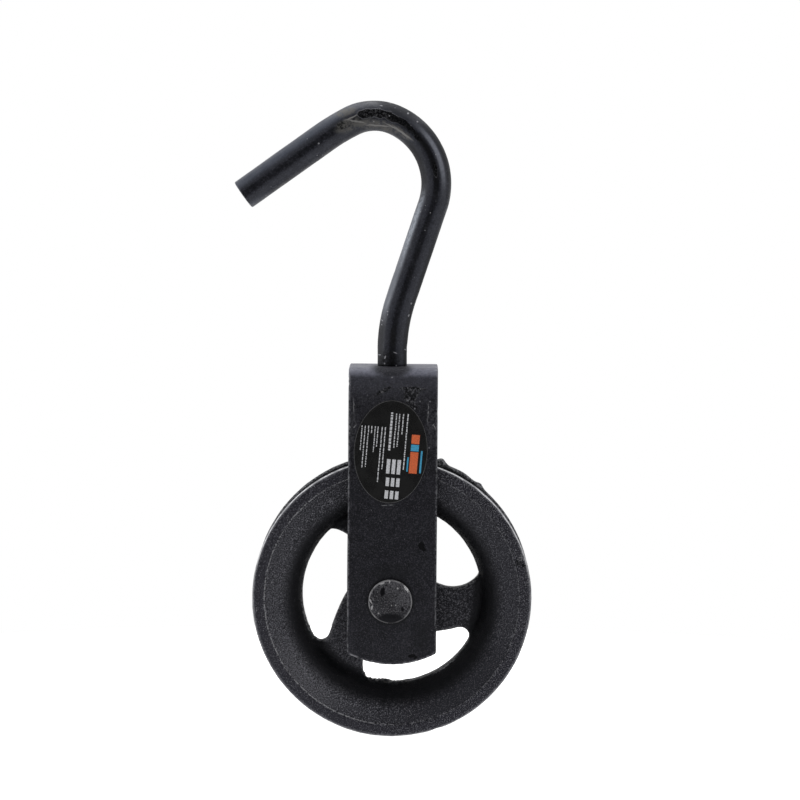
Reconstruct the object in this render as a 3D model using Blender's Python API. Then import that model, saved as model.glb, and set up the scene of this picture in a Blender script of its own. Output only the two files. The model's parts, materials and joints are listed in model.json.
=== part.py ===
"""Gin wheel: a cast rope wheel in a folded strap, hung from a swivelling round-bar hook.

Metres, +Z up, +X to the right seen from the front, front side towards -Y.
The origin is the hook's seat, the highest point inside the hook's bend.
"""

import math

import bmesh
import bpy
from mathutils import Vector

# Hook: a round bar bent in the XZ plane, with a turned-down foot that is peened over.
BAR_DIAMETER = 0.020
STEM_LENGTH = 0.0095
FOOT_BEND_RADIUS = 0.120
FOOT_BEND_ANGLE = 18.3
SHANK_LENGTH = 0.066
SHANK_BEND_RADIUS = 0.047
SHANK_BEND_ANGLE = 86.0
CROWN_BEND_RADIUS = 0.034
CROWN_BEND_ANGLE = 49.0
LIMB_BEND_RADIUS = 0.145
LIMB_BEND_ANGLE = 9.0
LIMB_LENGTH = 0.068
BAR_END_CHAMFER = 0.0008
SPIGOT_SHOULDER = 0.003
PEEN_OVERHANG = 0.005
PEEN_RIM = 0.002
PEEN_HEIGHT = 0.0065
HOOK_WASHER_OVERHANG = 0.009
HOOK_WASHER_THICKNESS = 0.003

# Axle: a broad-headed rivet with a distance sleeve between the legs.
AXLE_DIAMETER = 0.016
AXLE_HEAD_OVERHANG = 0.007
AXLE_HEAD_SIDE = 0.0022
AXLE_HEAD_HEIGHT = 0.0042
AXLE_PEEN_OVERHANG = 0.0035
AXLE_PEEN_SIDE = 0.0015
AXLE_PEEN_HEIGHT = 0.0055
AXLE_WASHER_OVERHANG = 0.009
AXLE_WASHER_THICKNESS = 0.003
SLEEVE_WALL = 0.003

# Wheel: one casting, with a hub, a web cut into three bent spokes, and a channel rim.
WHEEL_DIAMETER = 0.190
RIM_WIDTH = 0.038
RIM_WALL = 0.0065
RIM_DEPTH = 0.034
LIP_WIDTH = 0.0078
LIP_STEP = 0.0005
LIP_ROUND = 0.0015
TIP_ROUND = 0.0009
GROOVE_FLARE = 8.0
HUB_WALL = 0.011
HUB_DRAFT = 0.001
HUB_CHAMFER = 0.001
HUB_SIDE_PLAY = 0.0015
WEB_THICKNESS = 0.009
HUB_FILLET = 0.0035
RIM_FILLET = 0.0035
SPOKES = 3
SPOKE_ANGLE = -6.3
WINDOW_RIM_LAND = 0.0004
WINDOW_HUB_LAND = 0.0009
WINDOW_END_OVERRUN = 0.010
WINDOW_END_TURN = 38.9
SPOKE_EDGE_RADIUS = 0.140
SPOKE_EDGE_LEAN = 5.5
WINDOW_SMALL_CORNER = 0.0015
WINDOW_LARGE_CORNER = 0.006

# Strap: one flat bar folded over the wheel.
STRAP_WIDTH = 0.060
STRAP_THICKNESS = 0.005
STRAP_BEND_RADIUS = 0.004
STRAP_EDGE = 0.0006
LEG_LENGTH = 0.0445
LEG_END_RADIUS = 0.062
STEM_OFFSET = -0.001
RIM_SIDE_PLAY = 0.003
HEAD_ROOM = 0.0625

# Label: an oval sticker on the front leg.
LABEL_MARGIN = 0.005
LABEL_HEIGHT = 0.070
LABEL_THICKNESS = 0.0002
LABEL_GAP = 0.0001
LABEL_DROP = 0.0563
LABEL_SHIFT = -0.0014
LABEL_TILT = 3.0

CLEARANCE = 0.0003

# Sizes that follow from the ones above.
SPIGOT_DIAMETER = BAR_DIAMETER - 2 * SPIGOT_SHOULDER
PEEN_DIAMETER = SPIGOT_DIAMETER + 2 * PEEN_OVERHANG
HOOK_WASHER_DIAMETER = SPIGOT_DIAMETER + 2 * HOOK_WASHER_OVERHANG
AXLE_HEAD_DIAMETER = AXLE_DIAMETER + 2 * AXLE_HEAD_OVERHANG
AXLE_PEEN_DIAMETER = AXLE_DIAMETER + 2 * AXLE_PEEN_OVERHANG
AXLE_WASHER_DIAMETER = AXLE_DIAMETER + 2 * AXLE_WASHER_OVERHANG
SLEEVE_DIAMETER = AXLE_DIAMETER + 2 * SLEEVE_WALL
HUB_DIAMETER = SLEEVE_DIAMETER + 2 * HUB_WALL
STRAP_GAP = RIM_WIDTH + 2 * RIM_SIDE_PLAY
WEB_HEIGHT = WHEEL_DIAMETER / 2 + HEAD_ROOM
AXLE_HALF = STRAP_GAP / 2 + STRAP_THICKNESS
RIM_INNER_RADIUS = WHEEL_DIAMETER / 2 - RIM_DEPTH
WINDOW_RADIUS = RIM_INNER_RADIUS + WINDOW_RIM_LAND
WINDOW_END_NEAR = HUB_DIAMETER / 2 + HUB_DRAFT + HUB_FILLET + WINDOW_HUB_LAND
WINDOW_END_FAR = WINDOW_RADIUS + WINDOW_END_OVERRUN
WINDOW_END_REACH = (WINDOW_END_FAR + WINDOW_END_NEAR) / 2
WINDOW_END_RADIUS = (WINDOW_END_FAR - WINDOW_END_NEAR) / 2
LABEL_WIDTH = STRAP_WIDTH - 2 * LABEL_MARGIN
LABEL_RISE = WEB_HEIGHT - LABEL_DROP

# Facets of each round form, and the largest turn in degrees from one point of an arc to the next.
WHEEL_FACETS = 64
BAR_FACETS = 24
AXLE_FACETS = 48
LABEL_FACETS = 48
BEND_STEP = 6.0
STRAP_BEND_STEP = 15.0
LEG_END_STEP = 4.0
ROUND_STEP = 45.0
RIM_FILLET_STEP = 40.0
CHANNEL_STEP = 12.0
WINDOW_RIM_STEP = 5.0
WINDOW_EDGE_STEP = 3.0
WINDOW_END_STEP = 10.0
SMALL_CORNER_STEP = 30.0
LARGE_CORNER_STEP = 20.0
HEAD_TURNS = (30.0, 55.0, 75.0)
HEAD_FULLNESS = 0.5
SMOOTH_UNDER = 35.0
BEVEL_OVER = 50.0
BEVEL_SEGMENTS = 2

# How far the cutters reach past what they cut.
CUT_MARGIN = 0.005
TRIM_OVERRUN = 8.0
WELD = 0.000005

# How large the joint empties are drawn.
EMPTY_SIZE = 0.02


def clear_scene():
    for item in list(bpy.data.objects):
        bpy.data.objects.remove(item, do_unlink=True)


def unit(degrees):
    return Vector((math.cos(math.radians(degrees)), math.sin(math.radians(degrees))))


def bearing(vector):
    return math.degrees(math.atan2(vector.y, vector.x))


def arc(centre, radius, start, end, step):
    """Points on a circle from start to end, in degrees, with both ends."""
    count = max(1, math.ceil(abs(end - start) / step))
    return [centre + radius * unit(start + (end - start) * i / count) for i in range(count + 1)]


def arc_ccw(centre, radius, start, end, step):
    """The same, always turning anticlockwise."""
    return arc(centre, radius, start, start + (end - start) % 360.0, step)


def circles_meet(centre_a, radius_a, centre_b, radius_b, side):
    """Where two circles cross; side +1 is left of the line from a to b, -1 right."""
    span = centre_b - centre_a
    along = (radius_a ** 2 - radius_b ** 2 + span.length_squared) / (2 * span.length)
    across = math.sqrt(radius_a ** 2 - along ** 2)
    forward = span.normalized()
    return centre_a + along * forward + side * across * Vector((-forward.y, forward.x))


def painted(name, colour, roughness, metallic=0.0):
    material = bpy.data.materials.new(name)
    material.use_nodes = True
    shader = material.node_tree.nodes["Principled BSDF"]
    shader.inputs["Base Color"].default_value = (*colour, 1.0)
    shader.inputs["Roughness"].default_value = roughness
    shader.inputs["Metallic"].default_value = metallic
    material.diffuse_color = (*colour, 1.0)
    return material


def empty(name, location, parent=None):
    item = bpy.data.objects.new(name, None)
    item.empty_display_size = EMPTY_SIZE
    bpy.context.collection.objects.link(item)
    item.parent = parent
    item.location = location
    return item


def finish(name, bm):
    """Turn a bmesh into an object whose gentle edges are shaded smooth."""
    bmesh.ops.recalc_face_normals(bm, faces=bm.faces)
    mesh = bpy.data.meshes.new(name)
    bm.to_mesh(mesh)
    bm.free()
    mesh.shade_smooth()
    mesh.set_sharp_from_angle(angle=math.radians(SMOOTH_UNDER))
    item = bpy.data.objects.new(name, mesh)
    bpy.context.collection.objects.link(item)
    return item


def place(item, material, location, parent):
    item.data.materials.append(material)
    item.location = location
    item.parent = parent
    return item


def turned(name, profile, axis, facets, closed=False):
    """Spin a profile of (radius, distance along the axis) once round the axis."""
    bm = bmesh.new()
    verts = [bm.verts.new(Vector((radius, 0, 0)) + along * axis) for radius, along in profile]
    pairs = list(zip(verts, verts[1:]))
    if closed:
        pairs.append((verts[-1], verts[0]))
    edges = [bm.edges.new(pair) for pair in pairs]
    bmesh.ops.spin(bm, geom=verts + edges, axis=axis, cent=(0, 0, 0), steps=facets,
                   angle=math.tau, use_merge=True)
    bmesh.ops.remove_doubles(bm, verts=bm.verts, dist=WELD)
    return finish(name, bm)


def prism(name, outline, near, far):
    """Extrude an outline in the XZ plane along Y, from near to far."""
    bm = bmesh.new()
    face = bm.faces.new([bm.verts.new((point.x, near, point.y)) for point in outline])
    made = bmesh.ops.extrude_face_region(bm, geom=[face])
    moved = [item for item in made["geom"] if isinstance(item, bmesh.types.BMVert)]
    bmesh.ops.translate(bm, verts=moved, vec=(0, far - near, 0))
    return finish(name, bm)


def cylinder(name, radius, near, far, axis, facets):
    return turned(name, [(0, near), (radius, near), (radius, far), (0, far)], axis, facets)


def boolean(item, tool, operation):
    """Cut or trim an object with a tool that stays in the file as a wire guide."""
    tool.hide_render = True
    tool.display_type = "WIRE"
    tool.parent = item
    modifier = item.modifiers.new(tool.name, "BOOLEAN")
    modifier.object = tool
    modifier.operation = operation
    modifier.solver = "EXACT"


def domed(radius, base, side, height, outward):
    """Profile of a round head: a short upright side, a rounded edge and a low crown."""
    crown = height - side
    points = [(radius, base), (radius, base + outward * side)]
    for turn in HEAD_TURNS:
        across, up = unit(turn)
        points.append((radius * across ** HEAD_FULLNESS, base + outward * (side + crown * up)))
    points.append((0.0, base + outward * height))
    return points


def hook_stations():
    """Centre, heading and radius along the bar from foot to tip, from the strap's top face.

    Also gives the centre of the bar at its crest, where the heading passes level.
    """
    bar = BAR_DIAMETER / 2
    spigot = SPIGOT_DIAMETER / 2
    shoulder = CLEARANCE
    peen_top = -(STRAP_THICKNESS + HOOK_WASHER_THICKNESS + 2 * CLEARANCE)
    foot = domed(PEEN_DIAMETER / 2, peen_top, PEEN_RIM, PEEN_HEIGHT, -1)[:-1]
    foot = foot[::-1] + [(spigot, peen_top), (spigot, shoulder), (bar - BAR_END_CHAMFER, shoulder),
                         (bar, shoulder + BAR_END_CHAMFER)]
    stations = [(Vector((0, rise)), 90.0, radius) for radius, rise in foot]

    point = Vector((0, STEM_LENGTH))
    heading = 90.0
    stations.append((point, heading, bar))
    crest = point
    bends = [(-1, FOOT_BEND_RADIUS, FOOT_BEND_ANGLE, SHANK_LENGTH),
             (1, SHANK_BEND_RADIUS, SHANK_BEND_ANGLE, 0),
             (1, CROWN_BEND_RADIUS, CROWN_BEND_ANGLE, 0),
             (1, LIMB_BEND_RADIUS, LIMB_BEND_ANGLE, LIMB_LENGTH - BAR_END_CHAMFER)]
    for side, radius, angle, straight in bends:
        centre = point + side * radius * unit(heading + 90)
        start = heading
        for spot in arc(centre, radius, start - side * 90, start - side * 90 + side * angle, BEND_STEP)[1:]:
            heading = bearing(spot - centre) % 360 + side * 90
            stations.append((spot, heading, bar))
        if start <= 180 <= start + side * angle:
            crest = centre + radius * unit(90)
        heading = start + side * angle
        point = stations[-1][0]
        if straight:
            point = point + straight * unit(heading)
            stations.append((point, heading, bar))
    tip = point + BAR_END_CHAMFER * unit(heading)
    stations.append((tip, heading, bar - BAR_END_CHAMFER))
    return stations, crest


def swept_bar(name, stations, offset):
    """Join rings of vertices, one square to the bar at each station."""
    bm = bmesh.new()
    rings = []
    for centre, heading, radius in stations:
        side = unit(heading - 90)
        ring = []
        for i in range(BAR_FACETS):
            across, depth = radius * unit(360 * i / BAR_FACETS)
            spot = centre + across * side
            ring.append(bm.verts.new((spot.x + offset.x, depth, spot.y + offset.y)))
        rings.append(ring)
    for lower, upper in zip(rings, rings[1:]):
        for i in range(BAR_FACETS):
            j = (i + 1) % BAR_FACETS
            bm.faces.new((lower[i], lower[j], upper[j], upper[i]))
    bm.faces.new(rings[0][::-1])
    bm.faces.new(rings[-1])
    return finish(name, bm)


def ring_profile(inner, outer, near, far):
    return [(inner, near), (outer, near), (outer, far), (inner, far)]


def strap_profile():
    """Section of the folded strap as (Y, Z), with its legs a little too long."""
    inner = STRAP_GAP / 2
    outer = inner + STRAP_THICKNESS
    reach = LEG_LENGTH + STRAP_THICKNESS
    bend = STRAP_BEND_RADIUS
    rise = WEB_HEIGHT - STRAP_THICKNESS - bend
    pivot = Vector((inner - bend, rise))
    mirror = Vector((-pivot.x, rise))
    step = STRAP_BEND_STEP
    outside = [Vector((outer, -reach))] + arc(pivot, bend + STRAP_THICKNESS, 0, 90, step)
    outside += arc(mirror, bend + STRAP_THICKNESS, 90, 180, step) + [Vector((-outer, -reach))]
    inside = [Vector((-inner, -reach))] + arc(mirror, bend, 180, 90, step)
    inside += arc(pivot, bend, 90, 0, step) + [Vector((inner, -reach))]
    return outside + inside


def make_yoke(axle):
    """Folded strap with round leg ends, the axle holes and the stem's hole."""
    half = STRAP_WIDTH / 2
    bm = bmesh.new()
    face = bm.faces.new([bm.verts.new((-half, depth, rise)) for depth, rise in strap_profile()])
    made = bmesh.ops.extrude_face_region(bm, geom=[face])
    moved = [item for item in made["geom"] if isinstance(item, bmesh.types.BMVert)]
    bmesh.ops.translate(bm, verts=moved, vec=(STRAP_WIDTH, 0, 0))
    bmesh.ops.translate(bm, verts=bm.verts, vec=axle)
    yoke = finish("yoke", bm)

    depth = AXLE_HALF + CUT_MARGIN
    end_centre = Vector((0, LEG_END_RADIUS - LEG_LENGTH))
    swing = math.degrees(math.asin(half / LEG_END_RADIUS)) + TRIM_OVERRUN
    outline = arc(end_centre, LEG_END_RADIUS, -90 - swing, -90 + swing, LEG_END_STEP)
    top = WEB_HEIGHT + CUT_MARGIN
    outline += [Vector((outline[-1].x, top)), Vector((outline[0].x, top))]
    trim = prism("leg_trim", outline, -depth, depth)
    trim.location = axle
    boolean(yoke, trim, "INTERSECT")

    bevel = yoke.modifiers.new("edges", "BEVEL")
    bevel.width = STRAP_EDGE
    bevel.segments = BEVEL_SEGMENTS
    bevel.limit_method = "ANGLE"
    bevel.angle_limit = math.radians(BEVEL_OVER)

    axle_hole = AXLE_DIAMETER / 2 + CLEARANCE
    bore = cylinder("axle_holes", axle_hole, -depth, depth, Vector((0, 1, 0)), AXLE_FACETS)
    bore.location = axle
    boolean(yoke, bore, "DIFFERENCE")

    stem_hole = SPIGOT_DIAMETER / 2 + CLEARANCE
    punch = cylinder("stem_hole", stem_hole, -(STRAP_THICKNESS + CUT_MARGIN), CUT_MARGIN,
                     Vector((0, 0, 1)), BAR_FACETS)
    boolean(yoke, punch, "DIFFERENCE")
    return yoke


def rim_profile():
    """Half of the wheel's section, from the bore to the groove's floor, as (radius, Y)."""
    bore = SLEEVE_DIAMETER / 2 + CLEARANCE
    hub = HUB_DIAMETER / 2
    hub_face = STRAP_GAP / 2 - HUB_SIDE_PLAY
    web = WEB_THICKNESS / 2
    points = [Vector((bore, hub_face)), Vector((hub - HUB_CHAMFER, hub_face)),
              Vector((hub, hub_face - HUB_CHAMFER))]

    hub_corner = Vector((hub + HUB_DRAFT + HUB_FILLET, web + HUB_FILLET))
    points += arc(hub_corner, HUB_FILLET, 180, 270, ROUND_STEP)

    face = RIM_WIDTH / 2 - LIP_STEP
    rim_centre = Vector((RIM_INNER_RADIUS + face, 0))
    rise = web + RIM_FILLET
    reach = face + RIM_FILLET
    fillet_centre = Vector((rim_centre.x - math.sqrt(reach ** 2 - rise ** 2), rise))
    touch = bearing(fillet_centre - rim_centre)
    points += arc(fillet_centre, RIM_FILLET, -90, touch - 180, RIM_FILLET_STEP)
    points += arc(rim_centre, face, touch, 90, CHANNEL_STEP)[1:]

    outer = WHEEL_DIAMETER / 2
    lip = outer - LIP_WIDTH
    lip_face = RIM_WIDTH / 2
    points += [Vector((lip - LIP_STEP / 2, face)), Vector((lip + LIP_STEP / 2, lip_face))]
    points += arc(Vector((outer - LIP_ROUND, lip_face - LIP_ROUND)), LIP_ROUND, 90, 0, ROUND_STEP)

    groove = face - RIM_WALL
    flank_start = rim_centre + groove * unit(90 + GROOVE_FLARE)
    run = outer - TIP_ROUND - flank_start.x
    flank_end = Vector((flank_start.x + run, flank_start.y + run * math.tan(math.radians(GROOVE_FLARE))))
    points += [Vector((outer, flank_end.y + TIP_ROUND)), flank_end]
    points += arc(rim_centre, groove, 90 + GROOVE_FLARE, 180, CHANNEL_STEP)
    return points


def window_outline(spoke):
    """One opening of the web as (X, Z), between the spoke at this angle and the next one.

    The outer side follows the rim, the near end is one large round, and the far side is the
    hollow edge of the next spoke, which leaves the near round where it passes the hub.
    """
    hub = Vector((0, 0))
    end = WINDOW_END_REACH * unit(spoke + WINDOW_END_TURN)
    edge_reach = WINDOW_END_RADIUS + SPOKE_EDGE_RADIUS
    edge = end + edge_reach * unit(spoke + WINDOW_END_TURN + 180 - SPOKE_EDGE_LEAN)
    small = circles_meet(hub, WINDOW_RADIUS - WINDOW_SMALL_CORNER,
                         end, WINDOW_END_RADIUS - WINDOW_SMALL_CORNER, -1)
    large = circles_meet(hub, WINDOW_RADIUS - WINDOW_LARGE_CORNER,
                         edge, SPOKE_EDGE_RADIUS + WINDOW_LARGE_CORNER, -1)
    outline = arc_ccw(hub, WINDOW_RADIUS, bearing(small), bearing(large), WINDOW_RIM_STEP)
    outline += arc_ccw(large, WINDOW_LARGE_CORNER, bearing(large), bearing(edge - large),
                       LARGE_CORNER_STEP)[1:]
    near = bearing(large - edge)
    turn = (near - bearing(end - edge)) % 360
    outline += arc(edge, SPOKE_EDGE_RADIUS, near, near - turn, WINDOW_EDGE_STEP)[1:]
    outline += arc_ccw(end, WINDOW_END_RADIUS, bearing(edge - end), bearing(small - end),
                       WINDOW_END_STEP)[1:]
    outline += arc_ccw(small, WINDOW_SMALL_CORNER, bearing(small - end), bearing(small),
                       SMALL_CORNER_STEP)[1:-1]
    return outline


def make_wheel():
    """The casting: a turned body, then one opening cut between each two spokes."""
    half = rim_profile()
    mirrored = [Vector((point.x, -point.y)) for point in half[-2::-1]]
    wheel = turned("wheel", half + mirrored, Vector((0, 1, 0)), WHEEL_FACETS, closed=True)
    depth = WEB_THICKNESS / 2 + RIM_FILLET + CUT_MARGIN
    for i in range(SPOKES):
        angle = SPOKE_ANGLE + 360 * i / SPOKES
        window = prism(f"window_{i + 1}", window_outline(angle), -depth, depth)
        boolean(wheel, window, "DIFFERENCE")
    return wheel


def make_axle():
    """Rivet: a low round head at the front, the shank, and a peened end at the back."""
    shank = AXLE_DIAMETER / 2
    front = -(AXLE_HALF + CLEARANCE)
    back = AXLE_HALF + AXLE_WASHER_THICKNESS + 2 * CLEARANCE
    head = domed(AXLE_HEAD_DIAMETER / 2, front, AXLE_HEAD_SIDE, AXLE_HEAD_HEIGHT, -1)
    peen = domed(AXLE_PEEN_DIAMETER / 2, back, AXLE_PEEN_SIDE, AXLE_PEEN_HEIGHT, 1)
    profile = head[::-1] + [(shank, front), (shank, back)] + peen
    return turned("axle", profile, Vector((0, 1, 0)), AXLE_FACETS)


def make_label():
    """Thin oval sticker, standing just off the strap's front face."""
    outline = []
    for i in range(LABEL_FACETS):
        across, up = unit(360 * i / LABEL_FACETS)
        outline.append(Vector((LABEL_WIDTH / 2 * across, LABEL_HEIGHT / 2 * up)))
    face = -(AXLE_HALF + LABEL_GAP)
    return prism("label", outline, face - LABEL_THICKNESS, face)


def build():
    clear_scene()
    black_bar = painted("hook_paint", (0.020, 0.021, 0.024), 0.34)
    black_strap = painted("strap_paint", (0.021, 0.022, 0.026), 0.46)
    black_cast = painted("casting_paint", (0.018, 0.018, 0.020), 0.52)
    black_rivet = painted("rivet_paint", (0.026, 0.026, 0.028), 0.40)
    bare_steel = painted("bare_steel", (0.30, 0.29, 0.28), 0.45, 1.0)
    washer_steel = painted("washer_paint", (0.023, 0.024, 0.027), 0.45)
    sticker = painted("label_film", (0.012, 0.012, 0.013), 0.22)

    stations, crest = hook_stations()
    seat = crest - Vector((0, BAR_DIAMETER / 2))
    stem = Vector((-seat.x, 0, -seat.y))
    axle_centre = Vector((-STEM_OFFSET, 0, -WEB_HEIGHT))

    swivel = empty("yoke_swivel", stem)
    spin = empty("wheel_spin", axle_centre, swivel)
    upright = Vector((0, 0, 1))
    crosswise = Vector((0, 1, 0))
    middle = Vector((0, 0, 0))

    hook = swept_bar("hook", stations, Vector((-seat.x, -seat.y)))
    place(hook, black_bar, middle, None)

    washer_hole = SPIGOT_DIAMETER / 2 + CLEARANCE
    washer_top = -(STRAP_THICKNESS + CLEARANCE)
    hook_washer = turned("hook_washer", ring_profile(washer_hole, HOOK_WASHER_DIAMETER / 2,
                         washer_top - HOOK_WASHER_THICKNESS, washer_top), upright, AXLE_FACETS, True)
    place(hook_washer, washer_steel, stem, None)

    place(make_yoke(axle_centre), black_strap, middle, swivel)

    place(make_axle(), black_rivet, axle_centre, swivel)
    shank_hole = AXLE_DIAMETER / 2 + CLEARANCE
    washer_seat = AXLE_HALF + CLEARANCE
    axle_washer = turned("axle_washer", ring_profile(shank_hole, AXLE_WASHER_DIAMETER / 2,
                         washer_seat, washer_seat + AXLE_WASHER_THICKNESS), crosswise, AXLE_FACETS, True)
    place(axle_washer, washer_steel, axle_centre, swivel)

    sleeve_half = STRAP_GAP / 2 - CLEARANCE
    sleeve = turned("axle_sleeve", ring_profile(shank_hole, SLEEVE_DIAMETER / 2,
                    -sleeve_half, sleeve_half), crosswise, AXLE_FACETS, True)
    place(sleeve, bare_steel, axle_centre, swivel)

    place(make_wheel(), black_cast, middle, spin)

    label = place(make_label(), sticker, axle_centre + Vector((LABEL_SHIFT, 0, LABEL_RISE)), swivel)
    label.rotation_euler = (0, math.radians(LABEL_TILT), 0)


build()
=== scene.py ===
"""The looks of the gin wheel: paint, wear and casting texture on top of its CAD frame."""

import json
import math
import random

import bmesh
import bpy
import numpy as np
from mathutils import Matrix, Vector, noise


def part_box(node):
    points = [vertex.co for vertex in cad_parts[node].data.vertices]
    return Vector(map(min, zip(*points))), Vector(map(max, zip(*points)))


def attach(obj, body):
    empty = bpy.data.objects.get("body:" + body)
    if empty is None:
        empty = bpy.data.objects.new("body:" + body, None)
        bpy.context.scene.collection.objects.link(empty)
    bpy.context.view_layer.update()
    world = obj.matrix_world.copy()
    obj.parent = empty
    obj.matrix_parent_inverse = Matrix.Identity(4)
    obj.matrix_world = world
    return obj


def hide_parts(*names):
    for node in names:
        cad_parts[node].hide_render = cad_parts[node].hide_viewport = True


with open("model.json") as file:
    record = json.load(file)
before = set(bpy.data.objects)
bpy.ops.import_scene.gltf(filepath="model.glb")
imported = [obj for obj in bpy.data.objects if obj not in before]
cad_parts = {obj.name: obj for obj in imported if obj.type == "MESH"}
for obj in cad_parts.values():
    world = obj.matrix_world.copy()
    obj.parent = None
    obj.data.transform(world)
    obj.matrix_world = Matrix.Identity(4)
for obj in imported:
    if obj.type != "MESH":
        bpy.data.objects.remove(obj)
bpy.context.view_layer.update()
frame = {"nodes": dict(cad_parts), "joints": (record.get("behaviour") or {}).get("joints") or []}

MM = 0.001
joints = {joint["name"]: Vector(joint["pos_m"]) for joint in frame["joints"]}
AXLE = joints["wheel_spin"]
STEM = joints["yoke_swivel"]
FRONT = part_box("yoke")[0].y
HEAD_SHIFT = Vector((-0.001, 0, -0.0009))
HEAD = AXLE + HEAD_SHIFT
SHARP_OVER = math.radians(35)


def mm(x, y, z):
    """A place in the row frame, given in millimetres."""
    return Vector((x, y, z)) * MM


def off_axle(x, y, z):
    """A place given in millimetres from the axle's middle."""
    return AXLE + mm(x, y, z)


class Paint:
    """The nodes of one material, and its colour so far.

    Places are the piece's own coordinates in metres. The sizes of patterns and blobs, how far
    they are shaken and how deep they are, are millimetres.
    """

    def __init__(self, name):
        self.material = bpy.data.materials.new(name)
        self.material.use_nodes = True
        self.tree = self.material.node_tree
        self.shader = self.tree.nodes["Principled BSDF"]
        self.place = self.tree.nodes.new("ShaderNodeTexCoord").outputs["Object"]
        self.colour = None

    def feed(self, socket, value):
        if isinstance(value, bpy.types.NodeSocket):
            self.tree.links.new(value, socket)
        elif socket.type == "RGBA":
            socket.default_value = (*value, 1)
        else:
            socket.default_value = value

    def math(self, operation, a, b=0):
        node = self.tree.nodes.new("ShaderNodeMath")
        node.operation = operation
        self.feed(node.inputs[0], a)
        self.feed(node.inputs[1], b)
        return node.outputs[0]

    def vector(self, operation, a, b):
        node = self.tree.nodes.new("ShaderNodeVectorMath")
        node.operation = operation
        self.feed(node.inputs[0], a)
        self.feed(node.inputs[1], b)
        return node.outputs["Value" if operation == "LENGTH" else "Vector"]

    def ramp(self, value, low, high, start=0, end=1):
        """Smooth step of a value from low to high, onto start to end."""
        node = self.tree.nodes.new("ShaderNodeMapRange")
        node.interpolation_type = "SMOOTHSTEP"
        self.feed(node.inputs["Value"], value)
        node.inputs["From Min"].default_value = low
        node.inputs["From Max"].default_value = high
        self.feed(node.inputs["To Min"], start)
        self.feed(node.inputs["To Max"], end)
        return node.outputs["Result"]

    def band(self, value, low, full, still, high):
        """Up from 0 to 1 between the first two values, and down again between the last two."""
        return self.times(self.ramp(value, low, full), self.ramp(value, still, high))

    def mapped(self, centre=(0, 0, 0), turn=0, size=(1, 1, 1), spot=None):
        """Coordinates that are 0 at the centre and 1 at the size, turned about Y in degrees."""
        node = self.tree.nodes.new("ShaderNodeMapping")
        node.vector_type = "TEXTURE"
        self.feed(node.inputs["Vector"], spot or self.place)
        node.inputs["Location"].default_value = centre
        node.inputs["Rotation"].default_value = (0, math.radians(turn), 0)
        node.inputs["Scale"].default_value = size
        return node.outputs["Vector"]

    def noise(self, size, detail=3, rough=0.55, stretch=(1, 1, 1)):
        node = self.tree.nodes.new("ShaderNodeTexNoise")
        node.inputs["Scale"].default_value = 1 / (size * MM)
        node.inputs["Detail"].default_value = detail
        node.inputs["Roughness"].default_value = rough
        self.feed(node.inputs["Vector"], self.mapped(size=stretch))
        return node.outputs[0]

    def cells(self, size, share, radius):
        """Round specks on a share of the cells of a Voronoi pattern; radius is a part of a cell."""
        node = self.tree.nodes.new("ShaderNodeTexVoronoi")
        node.inputs["Scale"].default_value = 1 / (size * MM)
        self.feed(node.inputs["Vector"], self.place)
        split = self.tree.nodes.new("ShaderNodeSeparateColor")
        self.feed(split.inputs[0], node.outputs["Color"])
        picked = self.math("GREATER_THAN", split.outputs[0], 1 - share)
        near = self.ramp(node.outputs["Distance"], radius, radius * 0.4)
        return self.math("MULTIPLY", picked, near)

    def wobbled(self, size, amount):
        """Coordinates shaken by noise of that size, by up to that amount."""
        node = self.tree.nodes.new("ShaderNodeTexNoise")
        node.inputs["Scale"].default_value = 1 / (size * MM)
        node.inputs["Detail"].default_value = 3
        self.feed(node.inputs["Vector"], self.place)
        shift = self.vector("SUBTRACT", node.outputs["Color"], (0.5, 0.5, 0.5))
        shift = self.vector("MULTIPLY", shift, (2 * (amount * MM),) * 3)
        return self.vector("ADD", self.place, shift)

    def blob(self, centre, size, turn=0, soft=0.35, spot=None):
        """1 inside an ellipsoid and 0 outside it, turned about Y in degrees."""
        place = self.mapped(centre, turn, mm(*size), spot)
        reach = self.vector("LENGTH", place, (0, 0, 0))
        return self.ramp(reach, 1 + soft / 2, 1 - soft / 2)

    def blobs(self, *rows, soft=0.35, spot=None, start=Vector()):
        """The union of blobs, each given as (centre, size, turn) with lengths in millimetres."""
        return self.most(*(self.blob(start + mm(*centre), size, turn, soft, spot)
                           for centre, size, turn in rows))

    def most(self, *masks):
        """The largest of some masks at each place."""
        total = masks[0]
        for mask in masks[1:]:
            total = self.math("MAXIMUM", total, mask)
        return total

    def times(self, a, b):
        return self.math("MULTIPLY", a, b)

    def blend(self, mask, low, high):
        """Colour low where the mask is 0, high where it is 1."""
        node = self.tree.nodes.new("ShaderNodeMix")
        node.data_type = "RGBA"
        self.feed(node.inputs[0], mask)
        self.feed(node.inputs[6], low)
        self.feed(node.inputs[7], high)
        return node.outputs[2]

    def between(self, mask, low, high):
        """The same for a number."""
        node = self.tree.nodes.new("ShaderNodeMix")
        self.feed(node.inputs[0], mask)
        self.feed(node.inputs[2], low)
        self.feed(node.inputs[3], high)
        return node.outputs[0]

    def relief(self, *layers):
        """Bump from (height 0 to 1, depth) layers."""
        normal = None
        for height, depth in layers:
            node = self.tree.nodes.new("ShaderNodeBump")
            node.inputs["Distance"].default_value = depth * MM
            self.feed(node.inputs["Height"], height)
            if normal is not None:
                self.feed(node.inputs["Normal"], normal)
            normal = node.outputs["Normal"]
        self.feed(self.shader.inputs["Normal"], normal)

    def edges(self, low, high):
        """1 on the outer edges of a finely meshed piece."""
        node = self.tree.nodes.new("ShaderNodeNewGeometry")
        return self.ramp(node.outputs["Pointiness"], low, high)

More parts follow.
